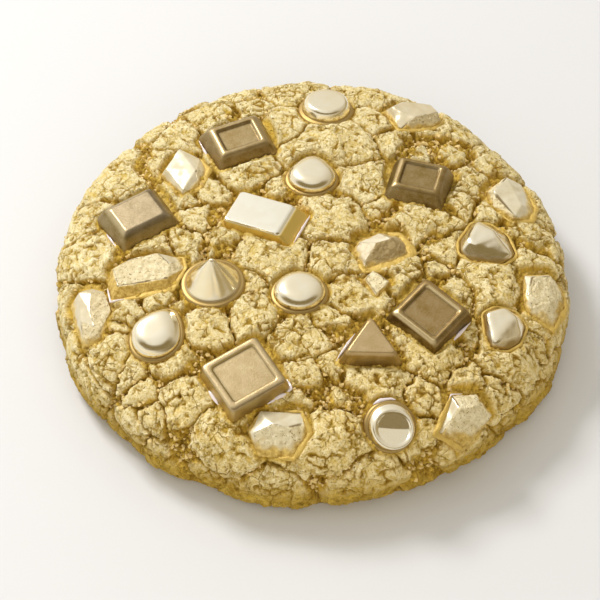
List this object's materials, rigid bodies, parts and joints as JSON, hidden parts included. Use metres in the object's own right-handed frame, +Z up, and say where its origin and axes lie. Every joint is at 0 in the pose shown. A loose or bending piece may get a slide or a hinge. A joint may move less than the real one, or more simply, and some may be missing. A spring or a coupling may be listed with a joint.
{
  "type": "chocolate chip cookie",
  "caption": "Round baked cookie with a domed, cracked crust and gold-lustred chocolate chips and chunks set into its top.",
  "frame": {"origin": "centre of the flat underside, on the surface that the cookie rests on", "axes": "+Z up through the dome, +X to the right and +Y to the back of the shown side"},
  "size_m": [0.0996, 0.1006, 0.0268],
  "materials": {
    "dough": "baked biscuit crust, dry and matt, pale gold on the plates and deeper gold in the cracks",
    "brown_lustre": "moulded chocolate dusted with bronze-gold lustre, satin",
    "light_lustre": "moulded chocolate dusted with light gold lustre, satin",
    "pale_polished": "dropped chocolate with a polished pale gold lustre, like a soft mirror",
    "pale_broken": "broken chocolate with pale gold lustre, grainy on its split faces"
  },
  "bodies": {
    "root": {"square_back_left": "brown_lustre", "square_left": "light_lustre", "square_back_right": "brown_lustre", "square_right": "brown_lustre", "square_front": "light_lustre", "triangle_front_right": "brown_lustre", "slab_centre": "pale_polished", "cone_left": "pale_polished", "button_back": "pale_polished", "button_front": "pale_polished", "drop_back": "pale_polished", "drop_centre": "pale_polished", "drop_left": "pale_polished", "pebble_right": "pale_polished", "pebble_front_right": "pale_polished", "chunk_back_left": "pale_broken", "chunk_back": "pale_broken", "chunk_centre": "pale_broken", "chunk_right_back": "pale_broken", "chunk_right": "pale_broken", "chunk_front_right": "pale_broken", "chunk_front": "pale_broken", "chunk_left": "pale_broken", "chunk_far_left": "pale_broken", "chip_small_centre": "pale_broken", "dough": "dough"}
  },
  "joints": []
}
